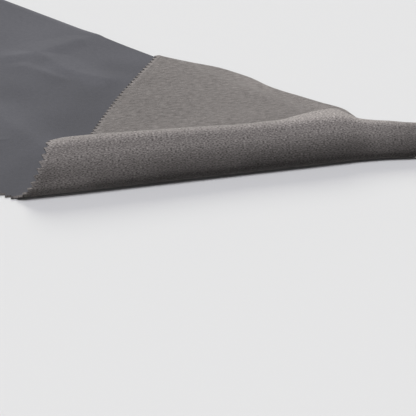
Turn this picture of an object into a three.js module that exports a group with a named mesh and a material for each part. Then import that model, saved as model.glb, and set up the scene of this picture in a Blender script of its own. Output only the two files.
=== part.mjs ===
// A flat cloth keyboard cover with a pinked edge. Its front right corner is turned back
// over the cloth, so the fold stands up as a long round roll. Millimetres, Z up.
import * as THREE from 'three';

// The flat cloth
const LENGTH = 1400;
const WIDTH = 310;
const THICK = 1.8;
const TOOTH_PITCH = 6.4;
const TOOTH_DEPTH = 4;

// The turned corner
const CORNER_RUN = 379;
const FOLD_ANGLE = THREE.MathUtils.degToRad(59.4);
const LAYER_GAP = 0.5;
const RIDGE_RADIUS = 9.4;
const LANDING_RADIUS = 50;
const DROOP_WIDTH = 16;

// Zone across the fold in which the cloth bends most
const FOLD_START = -20;
const FOLD_END = 78;

// Section of the roll from the floor to its ridge: degrees turned over each run of cloth
const ROLL_SECTION = [
  { turn: 90, run: 24.3 },
  { turn: 13, run: 6.4 },
  { turn: 27, run: 12.1 },
  { turn: 0, run: 7.9 },
  { turn: 50, run: 8.2 },
];

// The roll along the fold: its size, the flat shelf on its ridge, how far behind the fold
// line it lifts off, and the slope behind the ridge in degrees
const STATIONS = [
  { along: 0, size: 0.98, shelf: 0, lift: 10.2, slope: 24 },
  { along: 32, size: 1.035, shelf: 0, lift: 10.6, slope: 24 },
  { along: 58, size: 1.08, shelf: 0, lift: 11, slope: 24 },
  { along: 115, size: 1.045, shelf: 0, lift: 12.2, slope: 26 },
  { along: 170, size: 0.995, shelf: 0, lift: 13, slope: 33 },
  { along: 205, size: 0.96, shelf: 0, lift: 13.5, slope: 36 },
  { along: 237, size: 0.955, shelf: 1, lift: 14, slope: 38 },
  { along: 264, size: 0.972, shelf: 7.5, lift: 14.7, slope: 40 },
  { along: 289, size: 0.96, shelf: 12.5, lift: 15.2, slope: 44 },
  { along: 300, size: 0.88, shelf: 7.5, lift: 15, slope: 44 },
  { along: 309, size: 0.805, shelf: 2, lift: 14.4, slope: 44 },
  { along: 332, size: 0.742, shelf: 0, lift: 12.3, slope: 44 },
  { along: 360, size: 0.685, shelf: 0, lift: 8, slope: 44 },
];

// Uneven cut of the front edge: how far it bulges out, by the place along it
const FRONT_BULGE = [
  { foot: 1004, bulge: 0 },
  { foot: 1034, bulge: -4.2 },
  { foot: 1058, bulge: -2.6 },
  { foot: 1080, bulge: -1.2 },
  { foot: 1108, bulge: 0.2 },
  { foot: 1210, bulge: 2.8 },
  { foot: 1280, bulge: 3.8 },
  { foot: 1345, bulge: 1 },
  { foot: 1396, bulge: -2.5 },
];

// How far back the turned corner reaches, by the distance across the fold
const REACH = [
  { across: FOLD_START, back: WIDTH },
  { across: 10, back: WIDTH + 1 },
  { across: 40, back: WIDTH + 6 },
  { across: 60, back: WIDTH + 12 },
  { across: 90, back: WIDTH + 18 },
  { across: 118, back: WIDTH + 24 },
  { across: 132, back: WIDTH + 29 },
  { across: 148, back: WIDTH + 33 },
  { across: 166, back: WIDTH + 29.5 },
  { across: 190, back: WIDTH + 27 },
  { across: 222, back: WIDTH + 24 },
  { across: 250, back: WIDTH + 27 },
  { across: 275, back: WIDTH + 25 },
  { across: 297, back: WIDTH + 16 },
];

// Packing creases of the lying cloth, each a ridge along a line on the floor: the line's two
// ends, how wide the ridge is on the line's left and right, and its height
const CREASES = [
  { from: [781, 211], to: [794, 240], left: 26, right: 20, height: 2.2 },
  { from: [793, 240], to: [797, 284], left: 34, right: 24, height: 2.9 },
  { from: [797, 284], to: [800, 318], left: 30, right: 20, height: 1.3 },
  { from: [792, 236], to: [846, 226], left: 28, right: 20, height: 2.8 },
  { from: [846, 226], to: [886, 236], left: 28, right: 22, height: 2.3 },
  { from: [806, 205], to: [852, 210], left: 18, right: 20, height: 1.2 },
  { from: [876, 108], to: [958, 90], left: 34, right: 34, height: 2.6 },
  { from: [90, 232], to: [700, 222], left: 46, right: 46, height: 1.6 },
  { from: [398, 60], to: [404, 250], left: 44, right: 40, height: 1.8 },
  { from: [0, 304], to: [800, 304], left: 6, right: 80, height: 1.2 },
];
// How rounded a crease is at its top
const CREASE_TOP = 0.12;

// Teeth between one column of the mesh and the next, by zone across the fold
const COLUMN_STEPS = [
  { upTo: -380, teeth: 4 },
  { upTo: -210, teeth: 1 },
  { upTo: FOLD_START, teeth: 2 },
  { upTo: FOLD_END, teeth: 0.5 },
  { upTo: 150, teeth: 1 },
  { upTo: Infinity, teeth: 2 },
];
// Rows of the mesh, as shares of a column's length
const ROWS = [0, 0.07, 0.16, 0.26, 0.37, 0.48, 0.59, 0.68, 0.74, 0.785, 0.82, 0.85, 0.89, 0.94, 0.98, 1];
const SETTLE_ROUNDS = 6;
const TINY = 1e-9;

const FOOT_X = LENGTH - CORNER_RUN;
const ALONG = new THREE.Vector2(Math.cos(FOLD_ANGLE), Math.sin(FOLD_ANGLE));
const ACROSS = new THREE.Vector2(Math.sin(FOLD_ANGLE), -Math.cos(FOLD_ANGLE));
const FRONT = TOOTH_DEPTH;
const BACK = WIDTH;

// Value of a table's column at a place between its rows, eased without overshoot
function between(rows, place, column, at) {
  const last = rows.length - 1;
  if (at <= rows[0][place]) return rows[0][column];
  if (at >= rows[last][place]) return rows[last][column];
  const slope = (k) => (rows[k + 1][column] - rows[k][column]) / (rows[k + 1][place] - rows[k][place]);
  const tangent = (k) => {
    if (k === 0 || k === last) return 0;
    const product = slope(k - 1) * slope(k);
    return product > 0 ? (2 * product) / (slope(k - 1) + slope(k)) : 0;
  };
  const i = rows.findIndex((row) => row[place] > at) - 1;
  const span = rows[i + 1][place] - rows[i][place];
  const t = (at - rows[i][place]) / span;
  const rise = rows[i + 1][column] - rows[i][column];
  const ease = t * t * (3 - 2 * t);
  const lead = t * (1 - t) * (1 - t) * span * tangent(i);
  const trail = t * t * (t - 1) * span * tangent(i + 1);
  return rows[i][column] + rise * ease + lead + trail;
}

// Place and height after a distance along a section made of bends and straights
function walk(steps, distance) {
  let place = 0;
  let height = 0;
  let heading = 0;
  let left = distance;
  for (const { turn, run } of steps) {
    const part = Math.min(left, run);
    const bend = (turn * part) / Math.max(run, TINY);
    if (Math.abs(bend) > TINY) {
      const radius = part / bend;
      place += radius * (Math.sin(heading + bend) - Math.sin(heading));
      height += radius * (Math.cos(heading) - Math.cos(heading + bend));
    } else {
      place += part * Math.cos(heading);
      height += part * Math.sin(heading);
    }
    heading += bend;
    left -= part;
    if (left <= 0) break;
  }
  return { place, height };
}

const NOSE = ROLL_SECTION.map(({ turn, run }) => ({ turn: THREE.MathUtils.degToRad(turn), run }));
const RIDGE_RISE = walk(NOSE, Infinity).height;

// The whole section at one station: nose, ridge, shelf, back slope and the lying corner
function sectionAt(size, shelf, slope) {
  const easing = (RIDGE_RADIUS * size + LANDING_RADIUS) * (1 - Math.cos(slope));
  const drop = RIDGE_RISE * size - THICK - LAYER_GAP - easing;
  return [
    ...NOSE.map(({ turn, run }) => ({ turn, run: run * size })),
    { turn: 0, run: shelf },
    { turn: slope, run: RIDGE_RADIUS * slope * size },
    { turn: 0, run: drop / Math.sin(slope) },
    { turn: -slope, run: LANDING_RADIUS * slope },
    { turn: 0, run: LENGTH },
  ];
}

// Where a distance across the fold ends up once the corner is turned
function turned(along, across) {
  const station = (column) => between(STATIONS, 'along', column, along);
  const start = -station('lift');
  if (across <= start) return { place: across, height: 0 };
  const section = sectionAt(station('size'), station('shelf'), THREE.MathUtils.degToRad(station('slope')));
  const end = walk(section, across - start);
  return { place: start + end.place, height: end.height };
}

// Height of the creases over one spot on the floor
function creaseHeight(x, y) {
  let height = 0;
  for (const { from, to, left, right, height: top } of CREASES) {
    const start = new THREE.Vector2(...from);
    const run = new THREE.Vector2(...to).sub(start);
    const spot = new THREE.Vector2(x, y).sub(start);
    const t = THREE.MathUtils.clamp(spot.dot(run) / run.lengthSq(), 0, 1);
    const off = spot.clone().addScaledVector(run, -t).length();
    const side = run.cross(spot) / (run.length() * Math.max(off, TINY));
    const half = (left + right + side * (left - right)) / 2;
    const share = Math.hypot(off / half, CREASE_TOP) - CREASE_TOP;
    if (share < 1) height = Math.max(height, top * (1 - share) ** 2);
  }
  return height;
}

// Middle of the cloth's thickness for a point of the flat cloth
function middle(x, y) {
  const flat = new THREE.Vector2(x - FOOT_X, y);
  const along = flat.dot(ALONG);
  const { place, height } = turned(along, flat.dot(ACROSS));
  const px = FOOT_X + along * ALONG.x + place * ACROSS.x;
  const py = along * ALONG.y + place * ACROSS.y;
  const droop = (THICK + LAYER_GAP) * THREE.MathUtils.smoothstep(py, WIDTH, WIDTH + DROOP_WIDTH);
  return new THREE.Vector3(px, py, THICK / 2 + height + creaseHeight(px, py) - droop);
}

// Both faces of the cloth at a point of the flat cloth
function faces(x, y) {
  const step = 0.05;
  const dx = middle(x + step, y).sub(middle(x - step, y));
  const dy = middle(x, y + step).sub(middle(x, y - step));
  const half = dx.cross(dy).setLength(THICK / 2);
  const centre = middle(x, y);
  return { upper: centre.clone().add(half), under: centre.clone().sub(half) };
}

// Flat mesh: points with their two faces, and triangles by point number
const points = [];
const triangles = [];

function point(x, y, at, root = true) {
  points.push({ x, y });
  return { id: points.length - 1, x, y, at, root };
}

function triangle(a, b, c) {
  if (a.id !== b.id && b.id !== c.id && c.id !== a.id) triangles.push([a.id, b.id, c.id]);
}

// Fills the strip between two lines of points, the first on the right of the second
function stitch(right, left) {
  let i = 0;
  let j = 0;
  while (i < right.length - 1 || j < left.length - 1) {
    const step = j >= left.length - 1 || (i < right.length - 1 && right[i + 1].at <= left[j + 1].at);
    if (step) {
      triangle(right[i], right[i + 1], left[j]);
      i += 1;
    } else {
      triangle(right[i], left[j + 1], left[j]);
      j += 1;
    }
  }
}

// Pinked teeth on a line of points, each from one root to the next, on its right-hand side
function pink(line) {
  let from = 0;
  for (let to = 1; to < line.length; to += 1) {
    if (!line[to].root) continue;
    const dx = line[to].x - line[from].x;
    const dy = line[to].y - line[from].y;
    const reach = TOOTH_DEPTH / Math.hypot(dx, dy);
    const tip = point(line[from].x + dx / 2 + dy * reach, line[from].y + dy / 2 - dx * reach, 0);
    for (let k = from; k < to; k += 1) triangle(line[k], tip, line[k + 1]);
    from = to;
  }
}

// Extra points between two ends, one for each tooth
function fill(from, to, pitch) {
  const count = Math.max(1, Math.round(Math.hypot(to.x - from.x, to.y - from.y) / pitch));
  const extra = [];
  for (let k = 1; k < count; k += 1) {
    const mix = (key) => from[key] + ((to[key] - from[key]) * k) / count;
    extra.push(point(mix('x'), mix('y'), mix('at')));
  }
  return extra;
}

const frontAt = (foot) => FRONT - between(FRONT_BULGE, 'foot', 'bulge', foot);
const acrossAt = (foot) => (foot - FOOT_X) * ACROSS.x + frontAt(foot) * ACROSS.y;
const teethCount = Math.round((LENGTH - 2 * TOOTH_DEPTH) / TOOTH_PITCH);
const pitch = (LENGTH - 2 * TOOTH_DEPTH) / teethCount;
const footAt = (tooth) => TOOTH_DEPTH + tooth * pitch;
const foldFoot = FOOT_X + (FOLD_START - FRONT * ACROSS.y) / ACROSS.x;

// The corner's point ends the table of how far back the turned corner reaches
const cornerFoot = footAt(teethCount);
const cornerBack = middle(cornerFoot, frontAt(cornerFoot)).y;
const reach = [...REACH, { across: acrossAt(cornerFoot), back: cornerBack }];

// Back end of the column of cloth that starts at a foot on the front edge
function columnEnd(foot) {
  const across = acrossAt(foot);
  if (across <= FOLD_START) {
    const lean = (foot - TOOTH_DEPTH) / (foldFoot - TOOTH_DEPTH);
    return { x: foot + (lean * (BACK - FRONT) * ALONG.x) / ALONG.y, y: BACK };
  }
  const back = between(reach, 'across', 'back', across);
  let along = back / ALONG.y;
  for (let k = 0; k < SETTLE_ROUNDS; k += 1) {
    along = (back - turned(along, across).place * ACROSS.y) / ALONG.y;
  }
  const flat = ALONG.clone().multiplyScalar(along).addScaledVector(ACROSS, across);
  return { x: FOOT_X + flat.x, y: flat.y };
}

// Columns of cloth from the front edge to the back edge, closer where the cloth bends
const columns = [];
for (let tooth = 1; tooth < teethCount; ) {
  const across = acrossAt(footAt(tooth));
  const { teeth } = COLUMN_STEPS.find(({ upTo }) => across < upTo);
  columns.push({ tooth, root: true });
  if (teeth < 1) columns.push({ tooth: tooth + teeth, root: false });
  tooth += Math.min(Math.max(1, teeth), Math.max(1, teethCount - 1 - tooth));
}

const rows = ROWS.map(() => []);
columns.forEach(({ tooth, root }) => {
  const foot = footAt(tooth);
  const front = frontAt(foot);
  const end = columnEnd(foot);
  ROWS.forEach((v, r) => {
    rows[r].push(point(foot + (end.x - foot) * v, front + (end.y - front) * v, tooth, root));
  });
});
const cornerPoint = point(cornerFoot, frontAt(cornerFoot), teethCount);
rows.forEach((row) => row.push(cornerPoint));

// The front edge gets a point at every tooth, the plain back edge one at every third
const lastRow = rows.length - 1;
const filled = (row, step) => row.flatMap((p, k) => (k ? [...fill(row[k - 1], p, step), p] : [p]));
const frontLine = filled(rows[0], pitch);
const backLine = filled(rows[lastRow], 3 * pitch);
stitch(frontLine, rows[1]);
for (let r = 1; r < lastRow - 1; r += 1) stitch(rows[r], rows[r + 1]);
stitch(rows[lastRow - 1], backLine);

// Left end, then the teeth of the pinked edges
const frontLeft = point(TOOTH_DEPTH, FRONT, 0);
const backLeft = point(TOOTH_DEPTH, BACK, 1);
const leftLine = [frontLeft, ...fill(frontLeft, backLeft, pitch), backLeft];
stitch(rows.map((row, r) => ({ ...row[0], at: ROWS[r] })), leftLine);
pink([frontLeft, ...frontLine]);
pink([...leftLine].reverse());

// Both faces and the cut edge of the cloth as one closed solid
function clothGeometry() {
  const position = [];
  for (const { x, y } of points) {
    const { upper, under } = faces(x, y);
    position.push(...upper.toArray(), ...under.toArray());
  }
  const index = [];
  const open = new Map();
  for (const corners of triangles) {
    const [a, b, c] = corners.map((k) => 2 * k);
    index.push(a, b, c, c + 1, b + 1, a + 1);
    corners.forEach((p, k) => {
      const q = corners[(k + 1) % 3];
      if (!open.delete(`${q} ${p}`)) open.set(`${p} ${q}`, [2 * p, 2 * q]);
    });
  }
  for (const [p, q] of open.values()) index.push(p, p + 1, q, q, p + 1, q + 1);
  const geometry = new THREE.BufferGeometry();
  geometry.setAttribute('position', new THREE.Float32BufferAttribute(position, 3));
  geometry.setIndex(index);
  geometry.computeBoundingBox();
  const { min, max } = geometry.boundingBox;
  geometry.translate(-(min.x + max.x) / 2, -(min.y + max.y) / 2, -min.z);
  geometry.computeVertexNormals();
  return geometry;
}

const cloth = new THREE.MeshStandardMaterial({ name: 'fleece_cloth', color: 0x66666b, roughness: 0.95 });
const cover = new THREE.Mesh(clothGeometry(), cloth);
cover.name = 'cover_cloth';
const part = new THREE.Group();
part.name = 'keyboard_cover';
part.add(cover);
export default part;
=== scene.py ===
import math

import bpy
import numpy as np
from mathutils import Matrix, Vector


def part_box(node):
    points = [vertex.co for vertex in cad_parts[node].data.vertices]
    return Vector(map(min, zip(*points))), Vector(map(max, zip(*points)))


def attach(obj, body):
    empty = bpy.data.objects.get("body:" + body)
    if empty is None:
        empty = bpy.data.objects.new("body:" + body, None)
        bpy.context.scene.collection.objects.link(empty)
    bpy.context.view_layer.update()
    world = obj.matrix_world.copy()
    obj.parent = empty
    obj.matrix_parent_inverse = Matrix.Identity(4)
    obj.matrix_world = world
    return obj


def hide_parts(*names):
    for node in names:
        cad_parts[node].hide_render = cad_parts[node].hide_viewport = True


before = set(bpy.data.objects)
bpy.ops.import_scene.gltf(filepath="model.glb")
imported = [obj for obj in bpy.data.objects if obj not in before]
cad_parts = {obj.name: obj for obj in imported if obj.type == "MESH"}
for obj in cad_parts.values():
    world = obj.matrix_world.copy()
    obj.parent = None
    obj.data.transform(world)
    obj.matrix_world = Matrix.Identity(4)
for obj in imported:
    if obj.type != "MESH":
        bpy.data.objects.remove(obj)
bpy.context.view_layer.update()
scene = bpy.context.scene

# The flat cloth, in millimetres
LENGTH, WIDTH, THICK = 1400.0, 310.0, 1.8
TOOTH_PITCH, TOOTH_DEPTH = 6.4, 4.0
FRONT, BACK = TOOTH_DEPTH, WIDTH

# Mesh of the cloth: faces from front to back, columns for each tooth, step that finds the normals
ROWS, TOOTH_COLUMNS, NORMAL_STEP = 96, 2, 0.05
SHARP_ANGLE = math.radians(60)
TINY = 1e-9

# The turned corner: how much of the front edge is turned, and at which angle the cloth is folded
CORNER_RUN = 379.0
FOLD_ANGLE = math.radians(59.4)
# Gap between the layers, bends at the ridge and where the corner lands, width of its drooping end
LAYER_GAP = 0.5
RIDGE_RADIUS, LANDING_RADIUS = 9.4, 50.0
DROOP_WIDTH = 16.0
# Zone across the fold in which the cloth bends most
FOLD_START, FOLD_END = -20.0, 78.0
# Rounds in which the far outline of the corner settles
SETTLE_ROUNDS = 6
# Foot of the fold line, and the directions along and across it
FOOT_X = LENGTH - CORNER_RUN
ALONG = np.array([math.cos(FOLD_ANGLE), math.sin(FOLD_ANGLE)])
ACROSS = np.array([math.sin(FOLD_ANGLE), -math.cos(FOLD_ANGLE)])

# Section of the roll from the floor to its ridge: degrees turned, run of cloth
ROLL_SECTION = [(90, 24.3), (13, 6.4), (27, 12.1), (0, 7.9), (50, 8.2)]

# The roll along the fold: place, size, shelf on the ridge, lift-off, slope behind it
STATIONS = np.array([
    (0, 0.98, 0, 10.2, 24),
    (32, 1.035, 0, 10.6, 24),
    (58, 1.08, 0, 11, 24),
    (115, 1.045, 0, 12.2, 26),
    (170, 0.995, 0, 13, 33),
    (205, 0.96, 0, 13.5, 36),
    (237, 0.955, 1, 14, 38),
    (264, 0.972, 7.5, 14.7, 40),
    (289, 0.96, 12.5, 15.2, 44),
    (300, 0.88, 7.5, 15, 44),
    (309, 0.805, 2, 14.4, 44),
    (332, 0.742, 0, 12.3, 44),
    (360, 0.685, 0, 8, 44),
], float)

# Uneven cut of the front edge: place, bulge
FRONT_BULGE = np.array([
    (1004, 0), (1034, -4.2), (1058, -2.6), (1080, -1.2), (1108, 0.2), (1210, 2.8), (1280, 3.8),
    (1345, 1), (1396, -2.5),
], float)

# How far back the turned corner reaches: distance across the fold, reach past the back edge
REACH = np.array([
    (-20, 0), (10, 1), (40, 6), (60, 12), (90, 18), (118, 24), (132, 29), (148, 33), (166, 29.5),
    (190, 27), (222, 24), (250, 27), (275, 25), (297, 16),
], float)

# Packing creases of the lying cloth: line on the floor, half width on its left and right, height
CREASES = [
    ((781, 211), (794, 240), 26, 20, 2.2),
    ((793, 240), (797, 284), 34, 24, 2.9),
    ((797, 284), (800, 318), 30, 20, 1.3),
    ((792, 236), (846, 226), 28, 20, 2.8),
    ((846, 226), (886, 236), 28, 22, 2.3),
    ((806, 205), (852, 210), 18, 20, 1.2),
    ((876, 108), (958, 90), 34, 34, 2.6),
    ((90, 232), (700, 222), 46, 46, 1.6),
    ((398, 60), (404, 250), 44, 40, 1.8),
    ((0, 304), (800, 304), 6, 80, 1.2),
    ((916, 66), (924, 84), 10, 8, 1.2),
]
# Rounding of a crease's top, as a share of its half width
CREASE_TOP = 0.12

# Paler and darker patches of the smooth face, in part the lie of its nap and in part painted shade and
# light: line on the flat cloth, half width, change of tone
NAP_AND_SHADE_PATCHES = [
    ((740, 330), (760, 240), 90, 0.05),
    ((890, 195), (930, 150), 78, -0.15),
    ((834, 244), (862, 241), 24, 0.05),
    ((826, 220), (884, 227), 17, 0.16),
    ((868, 114), (900, 108), 30, 0.02),
    ((930, 50), (1010, 5), 66, -0.13),
    ((916, 205), (948, 140), 40, -0.07),
    ((800, 183), (842, 150), 32, -0.08),
    ((984, 60), (1003, 10), 34, -0.12),
    ((784, 224), (798, 240), 15, 0.08),
    ((868, 264), (890, 281), 28, -0.1),
]
# Painted shade on the creases: darker where a crease rises this way, towards the light, by this much
# for each unit of slope
LIGHT_SIDE, SLOPE_SHADE = (-0.71, 0.71), 0.6
# Paler strip along the back edge: change of tone, width, where it ends
EDGE_TONE, EDGE_WIDTH, EDGE_RUN = 0.3, 3.0, 800.0

# Tone of the pile round the roll, in part painted shade and highlight, darker where it leaves the
# floor and paler up to its ridge: degrees turned, tone
ROLL_TONE_AND_PAINTED_LIGHT = np.array([
    (0, 0.36), (40, 0.47), (65, 0.62), (90, 0.74), (103, 0.79), (118, 0.88), (130, 1.02), (150, 1.2),
    (165, 1.38), (180, 1.52), (230, 1.52),
])
# Painted light and shade on the pile: line on the flat cloth, half width, change of tone
PILE_PAINTED_LIGHT_PATCHES = [
    ((1196, 190), (1232, 264), 30, 0.3),
    ((1084, 90), (1232, 340), 26, -0.18),
    ((1030, 12), (1050, 48), 20, 0.95),
    ((1044, 36), (1076, 92), 27, 0.34),
    ((1208, 304), (1250, 274), 32, -0.17),
    ((1132, 174), (1182, 258), 16, -0.18),
    ((1042, -2), (1052, 14), 18, -0.12),
    ((1357, 6), (1359, 48), 28, 0.08),
]
# The corner lies flat past this heading, wholly below the first height and not above the second
LYING_HEADING, LYING_LOW, LYING_HIGH = math.radians(150), 5.0, 35.0
# Painted highlight where the corner bends down behind: change of tone, where it starts and is full
FAR_PAINTED_HIGHLIGHT, FAR_START, FAR_FULL = 0.2, WIDTH - 10, WIDTH + 25
# Paler pile on the teeth: change of tone, how far behind their roots it reaches
TOOTH_TONE, TOOTH_MARGIN = 0.3, 1.0
# Tone of the cut through the cloth
CUT_TONE = 0.95
# How far the pile is combed flat on the roll, and the fine fibres left where it is all flat
ROLL_COMB, COMBED_SHARE = 0.3, 0.25

# The two faces of the cloth: fibres, tufts and clouds have grains in a metre and a weight
FACES = [
    dict(
        name="smooth_face",
        tones=((0.092, 0.092, 0.104), (0.139, 0.139, 0.155)),
        fibres=(800, 1.6), tufts=(250, 0.25), clouds=(14, 0.3),
        stretch=1.0, bump=0.0001, sheen=0.1, tint=(0.9, 0.92, 1.0),
    ),
    dict(
        name="fleece_face",
        tones=((0.056, 0.051, 0.049), (0.347, 0.319, 0.308)),
        fibres=(1500, 1.42), tufts=(450, 0.47), clouds=(14, 0.2),
        stretch=0.36, bump=0.0006, sheen=0.5, tint=(1.0, 0.96, 0.95),
    ),
]
# Levels of the grain that give a face its two tones, and the level about which it varies
TONE_LEVELS, MEAN_LEVEL = (0.25, 0.75), 0.5
GRAIN_DETAIL = 1.5

# Floor, in metres: half its side, and how far it lies under the cloth
FLOOR_HALF, FLOOR_DROP = 60, 0.0003
FLOOR_COLOUR = (0.7, 0.7, 0.71, 1)

# Sky between two heights of the direction: share of the way up, brightness
SKY_LOW, SKY_HIGH = -0.05, 0.35
SKY = [(0.0, 0.08), (0.06, 0.08), (0.08, 0.8), (0.35, 0.7), (1.0, 0.12)]

# Wide lights: name, place, spread in degrees, strength, colour
SUNS = [
    ("key", (-1.8, 1.5, 2.0), 34, 1.34, (1.0, 1.0, 0.9)),
    ("front", (1.1, -0.7, 2.5), 26, 2.46, (0.985, 0.985, 1.015)),
]

# Camera at the photograph's viewing angle, its place in metres from the low corner of the cloth's box
AZIMUTH, ELEVATION, ROLL = map(math.radians, (44.067, 25.066, 0.528))
CAMERA_PLACE = (2.5357057, -1.3310461, 0.9359548)
LENS, SENSOR_WIDTH = 229.437, 36


def eased(table, at, column=1):
    """Values of a table's column between its rows, without overshoot."""
    places, values = table[:, 0], table[:, column]
    span = np.diff(places)
    slope = np.diff(values) / span
    product = slope[:-1] * slope[1:]
    steady = product > 0
    tangent = np.zeros(len(values))
    tangent[1:-1] = np.where(steady, 2 * product / np.where(steady, slope[:-1] + slope[1:], 1), 0)
    at = np.clip(at, places[0], places[-1])
    i = np.clip(np.searchsorted(places, at, side="right") - 1, 0, len(places) - 2)
    t = (at - places[i]) / span[i]
    value = values[i] + (values[i + 1] - values[i]) * t * t * (3 - 2 * t)
    value += t * (1 - t) ** 2 * span[i] * tangent[i]
    return value + t * t * (t - 1) * span[i] * tangent[i + 1]


def smooth(value, low, high):
    """Soft step from 0 at the low value to 1 at the high one."""
    t = np.clip((value - low) / (high - low), 0, 1)
    return t * t * (3 - 2 * t)


def fold_places(x, y):
    """Distances along and across the fold for points of the flat cloth."""
    return (x - FOOT_X) * ALONG[0] + y * ALONG[1], (x - FOOT_X) * ACROSS[0] + y * ACROSS[1]


def front_edge(foot):
    """Roots of the teeth along the uneven front edge."""
    return FRONT - eased(FRONT_BULGE, foot)


def ridge_rise(size):
    """Height of the ridge over the start of the roll's section."""
    rise = 0.0
    tilt = 0.0
    for turn, run in ROLL_SECTION:
        bend = math.radians(turn)
        ahead = tilt + bend
        climb = math.sin(tilt) if turn == 0 else (math.cos(tilt) - math.cos(ahead)) / bend
        rise = rise + size * run * climb
        tilt = ahead
    return rise


def turned(along, across):
    """Where a distance across the fold ends up: place across it, height and heading in radians."""
    size, shelf, lift, slope = (eased(STATIONS, along, column) for column in range(1, 5))
    slope = np.radians(slope)
    easing = (RIDGE_RADIUS * size + LANDING_RADIUS) * (1 - np.cos(slope))
    drop = ridge_rise(size) - THICK - LAYER_GAP - easing
    bends = [(math.radians(turn), run * size) for turn, run in ROLL_SECTION]
    bends += [
        (0.0, shelf),
        (slope, RIDGE_RADIUS * slope * size),
        (0.0, drop / np.sin(slope)),
        (-slope, LANDING_RADIUS * slope),
        (0.0, LENGTH),
    ]
    place = np.minimum(across, -lift)
    left = np.maximum(across + lift, 0)
    height = np.zeros_like(place)
    heading = np.zeros_like(place)
    for turn, run in bends:
        part = np.minimum(left, run)
        bend = turn * part / np.maximum(run, TINY)
        straight = np.abs(bend) < TINY
        radius = part / np.where(straight, 1, bend)
        ahead = heading + bend
        round_place = radius * (np.sin(ahead) - np.sin(heading))
        round_height = radius * (np.cos(heading) - np.cos(ahead))
        place = place + np.where(straight, part * np.cos(heading), round_place)
        height = height + np.where(straight, part * np.sin(heading), round_height)
        heading = ahead
        left = left - part
    return place, height, heading


def line_distance(start, end, x, y):
    """Distance of points from a line between two places, and their side of it, 1 on its left."""
    ahead = np.subtract(end, start, dtype=float)
    run = np.hypot(*ahead)
    dx, dy = x - start[0], y - start[1]
    t = np.clip((dx * ahead[0] + dy * ahead[1]) / run ** 2, 0, 1)
    off = np.hypot(dx - t * ahead[0], dy - t * ahead[1])
    return off, (dy * ahead[0] - dx * ahead[1]) / (run * np.maximum(off, TINY))


def crease_height(x, y):
    """Height of the packing creases for places on the floor."""
    total = np.zeros_like(x)
    for start, end, left, right, height in CREASES:
        off, side = line_distance(start, end, x, y)
        half = (left + right + side * (left - right)) / 2
        share = np.hypot(off / half, CREASE_TOP) - CREASE_TOP
        total = np.maximum(total, height * np.clip(1 - share, 0, 1) ** 2)
    return total


def middle(x, y):
    """Middle of the cloth's thickness for points of the flat cloth."""
    along, across = fold_places(x, y)
    place, height, _ = turned(along, across)
    px = FOOT_X + along * ALONG[0] + place * ACROSS[0]
    py = along * ALONG[1] + place * ACROSS[1]
    droop = (THICK + LAYER_GAP) * smooth(py, WIDTH, WIDTH + DROOP_WIDTH)
    return np.stack([px, py, THICK / 2 + height + crease_height(px, py) - droop], -1)


def patches(table, x, y):
    """Tone of a face with the patches of a table."""
    tone = np.ones_like(x)
    for start, end, half, change in table:
        off = line_distance(start, end, x, y)[0] / half
        tone += change * np.clip(1 - off * off, 0, 1) ** 2
    return tone


def nap_and_painted_shade(x, y):
    """Tone of the smooth face, with painted shade on the sides of the creases away from the light."""
    light_x, light_y = LIGHT_SIDE
    # Painted shade: darker where the crease rises towards the light
    rise = crease_height(x + light_x, y + light_y) - crease_height(x - light_x, y - light_y)
    edge = EDGE_TONE * smooth(y, WIDTH - EDGE_WIDTH, WIDTH) * (x < EDGE_RUN)
    return patches(NAP_AND_SHADE_PATCHES, x, y) - SLOPE_SHADE * rise / 2 + edge


def pile_shade_and_comb(x, y):
    """Tone of the pile, with painted shade and highlight on the roll, and how far it is combed flat:
    least on the roll, 1 on the lying corner.
    """
    along, across = fold_places(x, y)
    place, height, heading = turned(along, across)
    flat = np.where(heading > LYING_HEADING, 1 - smooth(height, LYING_LOW, LYING_HIGH), 0)
    back = along * ALONG[1] + place * ACROSS[1]
    # Painted highlight where the corner bends down behind
    far = FAR_PAINTED_HIGHLIGHT * flat * smooth(back, FAR_START, FAR_FULL)
    teeth = TOOTH_TONE * (y < front_edge(x) + TOOTH_MARGIN)
    # Painted shade low on the roll and painted highlight towards its ridge, none where the corner lies
    # flat
    tone = 1 + (eased(ROLL_TONE_AND_PAINTED_LIGHT, np.degrees(heading)) - 1) * (1 - flat) + far + teeth
    comb = ROLL_COMB + (1 - ROLL_COMB) * flat
    # Painted light and shade patches on the pile
    return np.where(heading > 0, tone, 1) * patches(PILE_PAINTED_LIGHT_PATCHES, x, y), np.where(heading > 0, comb, 1)


def column_feet():
    """Feet of the mesh's columns on the front edge, closer where the cloth bends, and its zigzag."""
    run = LENGTH - 2 * TOOTH_DEPTH
    teeth = round(run / TOOTH_PITCH)
    pitch = run / teeth
    tooth = np.arange(TOOTH_COLUMNS * teeth) / TOOTH_COLUMNS
    roll = fold_places(TOOTH_DEPTH + tooth * pitch, FRONT)[1]
    inner = tooth[(roll > FOLD_START) & (roll < FOLD_END)] + 1 / (2 * TOOTH_COLUMNS)
    tooth = np.sort(np.concatenate([tooth, inner]))
    return TOOTH_DEPTH + tooth * pitch, 1 - np.abs(1 - 2 * (tooth % 1))


def lying_ends(foot):
    """Ends of the lying columns on the back edge. They lean more and more, up to the fold's angle."""
    fold_foot = FOOT_X + (FOLD_START - FRONT * ACROSS[1]) / ACROSS[0]
    lean = (foot - TOOTH_DEPTH) / (fold_foot - TOOTH_DEPTH)
    return foot + lean * (BACK - FRONT) * ALONG[0] / ALONG[1], np.full_like(foot, BACK)


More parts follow.
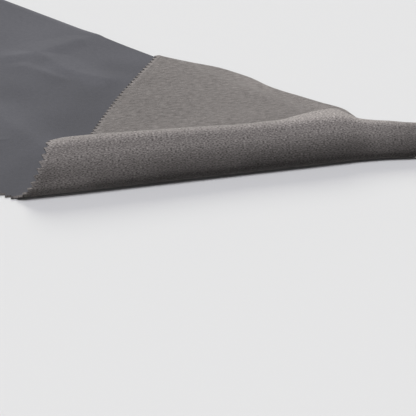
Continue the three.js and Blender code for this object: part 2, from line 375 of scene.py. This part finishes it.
def turned_ends(across):
    """Ends of the turned columns, on the far outline of the corner."""
    corner = np.array([LENGTH - TOOTH_DEPTH])
    corner_front = front_edge(corner)
    corner_back = middle(corner, corner_front)[0, 1]
    tip = fold_places(corner, corner_front)[1][0]
    reach = np.vstack([REACH, (tip, corner_back - WIDTH)])
    back = WIDTH + eased(reach, across)
    along = back / ALONG[1]
    for _ in range(SETTLE_ROUNDS):
        along = (back - turned(along, across)[0] * ACROSS[1]) / ALONG[1]
    return FOOT_X + along * ALONG[0] + across * ACROSS[0], along * ALONG[1] + across * ACROSS[1]


def flat_grid():
    """Points of the flat cloth in columns from the front edge to the back, with pinked edges."""
    foot, zigzag = column_feet()
    front = front_edge(foot)
    across = fold_places(foot, front)[1]
    end_x, end_y = np.where(across > FOLD_START, turned_ends(across), lying_ends(foot))
    share = np.arange(ROWS + 1) / ROWS
    x = foot[:, None] + (end_x - foot)[:, None] * share
    y = front[:, None] + (end_y - front)[:, None] * share
    y[:, 0] -= TOOTH_DEPTH * zigzag
    x[0, 1::2] -= TOOTH_DEPTH
    return x, y


def both_faces(x, y):
    """Points of the upper face and then of the under face, in metres."""
    along_x = middle(x + NORMAL_STEP, y) - middle(x - NORMAL_STEP, y)
    along_y = middle(x, y + NORMAL_STEP) - middle(x, y - NORMAL_STEP)
    normal = np.cross(along_x, along_y)
    normal *= THICK / 2 / np.linalg.norm(normal, axis=1, keepdims=True)
    centre = middle(x, y)
    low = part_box("cover_cloth")[0]
    return np.vstack([centre + normal, centre - normal]) / 1000 + np.array(low)


def cloth_faces(columns, rows):
    """Faces of the upper side, the under side and the cut edge. The corner's tip is the last point."""
    index = np.arange(columns * rows).reshape(columns, rows)
    tip = columns * rows
    count = tip + 1
    corners = [index[:-1, :-1], index[1:, :-1], index[1:, 1:], index[:-1, 1:]]
    quads = np.stack(corners, -1).reshape(-1, 4)
    last = index[-1]
    fan = np.stack([last[:-1], np.full(rows - 1, tip), last[1:]], -1)
    edge = np.concatenate([index[:, 0], [tip], index[::-1, -1], index[0, -2:0:-1]])
    ahead = np.roll(edge, -1)
    cut = np.stack([edge, edge + count, ahead + count, ahead], -1)
    upper = [*quads.tolist(), *fan.tolist()]
    under = [*(quads[:, ::-1] + count).tolist(), *(fan[:, ::-1] + count).tolist()]
    return upper, under, cut.tolist()


def cloth_mesh(name):
    """The sheet, with its flat place, the tone and the combing of its faces for the materials."""
    x, y = flat_grid()
    upper, under, cut = cloth_faces(*x.shape)
    x = np.append(x.ravel(), LENGTH - TOOTH_DEPTH)
    y = np.append(y.ravel(), front_edge(LENGTH - TOOTH_DEPTH))
    count = len(x)

    mesh = bpy.data.meshes.new(name)
    mesh.from_pydata(both_faces(x, y).tolist(), [], upper + under + cut)
    slots = np.repeat([0, 1], [len(upper), len(under) + len(cut)]).astype(np.int32)
    mesh.polygons.foreach_set("material_index", slots)
    uv = mesh.uv_layers.new(name="flat")
    corner_point = np.zeros(len(mesh.loops), np.int32)
    mesh.loops.foreach_get("vertex_index", corner_point)
    flat = np.stack(fold_places(x, y), -1) / 1000
    uv.data.foreach_set("uv", flat[corner_point % count].astype(np.float32).ravel())

    pile_shade, combed = pile_shade_and_comb(x, y)
    tone = np.concatenate([nap_and_painted_shade(x, y), pile_shade])[corner_point]
    cut_corners = slice(-4 * len(cut), None)
    tone[cut_corners] = CUT_TONE * np.minimum(pile_shade[corner_point[cut_corners] % count], 1)
    comb = np.concatenate([np.ones(count), combed])
    # The tone carries the painted shade and light of both faces
    mesh.attributes.new("tone", "FLOAT", "CORNER").data.foreach_set("value", tone.astype(np.float32))
    mesh.attributes.new("comb", "FLOAT", "POINT").data.foreach_set("value", comb.astype(np.float32))
    mesh.validate()
    mesh.update()
    mesh.shade_smooth()
    mesh.set_sharp_from_angle(angle=SHARP_ANGLE)
    return mesh


def scaled(tree, value, share, offset):
    """A value times a share, plus an offset."""
    node = tree.nodes.new("ShaderNodeMath")
    node.operation = "MULTIPLY_ADD"
    node.inputs[1].default_value = share
    node.inputs[2].default_value = offset
    tree.links.new(value, node.inputs[0])
    return node.outputs["Value"]


def combined(tree, operation, first, second):
    """Two values joined by an operation."""
    node = tree.nodes.new("ShaderNodeMath")
    node.operation = operation
    tree.links.new(first, node.inputs[0])
    tree.links.new(second, node.inputs[1])
    return node.outputs["Value"]


def attribute(tree, name):
    """A value that the mesh holds."""
    node = tree.nodes.new("ShaderNodeAttribute")
    node.attribute_name = name
    return node.outputs["Fac"]


def grain(tree, place, scale, weight, mean=0.0):
    """Noise of one scale, spread by its weight about a mean."""
    noise = tree.nodes.new("ShaderNodeTexNoise")
    noise.inputs["Scale"].default_value = scale
    noise.inputs["Detail"].default_value = GRAIN_DETAIL
    tree.links.new(place, noise.inputs["Vector"])
    return scaled(tree, noise.outputs["Fac"], weight, mean - weight / 2)


def flat_place(tree, stretch):
    """Place on the flat cloth, with the grain drawn out along the fold by a stretch."""
    flat = tree.nodes.new("ShaderNodeUVMap")
    flat.uv_map = "flat"
    comb = tree.nodes.new("ShaderNodeMapping")
    comb.inputs["Scale"].default_value = (stretch, 1, 1)
    tree.links.new(flat.outputs["UV"], comb.inputs["Vector"])
    return comb.outputs["Vector"]


def material(name, tones, fibres, tufts, clouds, stretch, bump, sheen, tint):
    """A face of the cloth: fine fibres, tufts where it is combed flat, soft clouds and a sheen."""
    mat = bpy.data.materials.new(name)
    mat.use_nodes = True
    tree = mat.node_tree
    nodes, links = tree.nodes, tree.links
    shader = nodes["Principled BSDF"]
    shader.inputs["Roughness"].default_value = 0.95
    shader.inputs["Specular IOR Level"].default_value = 0.1
    shader.inputs["Sheen Weight"].default_value = sheen
    shader.inputs["Sheen Roughness"].default_value = 0.3
    shader.inputs["Sheen Tint"].default_value = (*tint, 1)

    place = flat_place(tree, stretch)
    fine = grain(tree, place, *fibres)
    combed = attribute(tree, "comb")
    standing = scaled(tree, combed, COMBED_SHARE - 1, 1)
    rough = combined(tree, "MULTIPLY", grain(tree, place, *tufts), combed)
    level = combined(tree, "ADD", combined(tree, "MULTIPLY", fine, standing), rough)
    level = combined(tree, "ADD", level, grain(tree, place, *clouds, mean=MEAN_LEVEL))
    ramp = nodes.new("ShaderNodeValToRGB")
    for stop, at, tone in zip(ramp.color_ramp.elements, TONE_LEVELS, tones):
        stop.position = at
        stop.color = (*tone, 1)
    shade = nodes.new("ShaderNodeVectorMath")
    shade.operation = "SCALE"
    links.new(level, ramp.inputs["Fac"])
    links.new(ramp.outputs["Color"], shade.inputs["Vector"])
    # The tone attribute brings the painted shade and light into the colour
    links.new(attribute(tree, "tone"), shade.inputs["Scale"])
    links.new(shade.outputs["Vector"], shader.inputs["Base Color"])
    bumps = nodes.new("ShaderNodeBump")
    bumps.inputs["Strength"].default_value = 1.0
    bumps.inputs["Distance"].default_value = bump
    links.new(fine, bumps.inputs["Height"])
    links.new(bumps.outputs["Normal"], shader.inputs["Normal"])
    return mat


def pale_floor():
    """A wide plain floor, which doesn't light the cloth from below."""
    half = FLOOR_HALF
    corners = [(-half, -half, 0), (half, -half, 0), (half, half, 0), (-half, half, 0)]
    plane = bpy.data.meshes.new("floor")
    plane.from_pydata(corners, [], [(0, 1, 2, 3)])
    floor = bpy.data.objects.new("floor", plane)
    floor.location.z = -FLOOR_DROP
    scene.collection.objects.link(floor)
    paint = bpy.data.materials.new("floor_paint")
    paint.use_nodes = True
    shader = paint.node_tree.nodes["Principled BSDF"]
    shader.inputs["Base Color"].default_value = FLOOR_COLOUR
    shader.inputs["Roughness"].default_value = 0.9
    plane.materials.append(paint)
    floor.visible_diffuse = False
    return floor


def studio_sky():
    """Soft light from all round, brightest near the floor's far edge."""
    world = bpy.data.worlds.new("studio")
    scene.world = world
    world.use_nodes = True
    nodes, links = world.node_tree.nodes, world.node_tree.links
    direction = nodes.new("ShaderNodeTexCoord")
    height = nodes.new("ShaderNodeSeparateXYZ")
    share = nodes.new("ShaderNodeMapRange")
    share.inputs["From Min"].default_value = SKY_LOW
    share.inputs["From Max"].default_value = SKY_HIGH
    glow = nodes.new("ShaderNodeValToRGB")
    stops = glow.color_ramp.elements
    while len(stops) < len(SKY):
        stops.new(0.5)
    for stop, (place, level) in zip(stops, SKY):
        stop.position = place
        stop.color = (level, level, level, 1)
    links.new(direction.outputs["Generated"], height.inputs["Vector"])
    links.new(height.outputs["Z"], share.inputs["Value"])
    links.new(share.outputs["Result"], glow.inputs["Fac"])
    links.new(glow.outputs["Color"], nodes["Background"].inputs["Color"])


def soft_sun(name, place, spread, strength, colour):
    """A wide even light that shines from a place towards the middle of the object."""
    light = bpy.data.lights.new(name, "SUN")
    light.color = colour
    light.angle = math.radians(spread)
    light.energy = strength
    lamp = bpy.data.objects.new(name, light)
    lamp.location = place
    lamp.rotation_euler = Vector(place).to_track_quat("Z", "Y").to_euler()
    scene.collection.objects.link(lamp)


def photo_camera():
    """The camera, turned by its three angles."""
    out = math.cos(ELEVATION)
    back = Vector((math.sin(AZIMUTH) * out, -math.cos(AZIMUTH) * out, math.sin(ELEVATION)))
    level = Vector((math.cos(AZIMUTH), math.sin(AZIMUTH), 0))
    upright = back.cross(level)
    right = level * math.cos(ROLL) + upright * math.sin(ROLL)
    up = back.cross(right)
    camera_data = bpy.data.cameras.new("camera")
    camera_data.lens = LENS
    camera_data.sensor_width = SENSOR_WIDTH
    camera = bpy.data.objects.new("camera", camera_data)
    turn = Matrix((right, up, back)).transposed().to_4x4()
    place = Vector(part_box("cover_cloth")[0]) + Vector(CAMERA_PLACE)
    camera.matrix_world = Matrix.Translation(place) @ turn
    scene.collection.objects.link(camera)
    return camera


# Cover
sheet = cloth_mesh("cover_sheet")
for face in FACES:
    sheet.materials.append(material(**face))
cover = bpy.data.objects.new("cover_sheet", sheet)
scene.collection.objects.link(cover)
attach(cover, "root")
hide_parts("cover_cloth")

# Floor, light and camera
floor = pale_floor()
scene.view_settings.view_transform = "Standard"
studio_sky()
for sun in SUNS:
    soft_sun(*sun)
bpy.context.scene.camera = photo_camera()
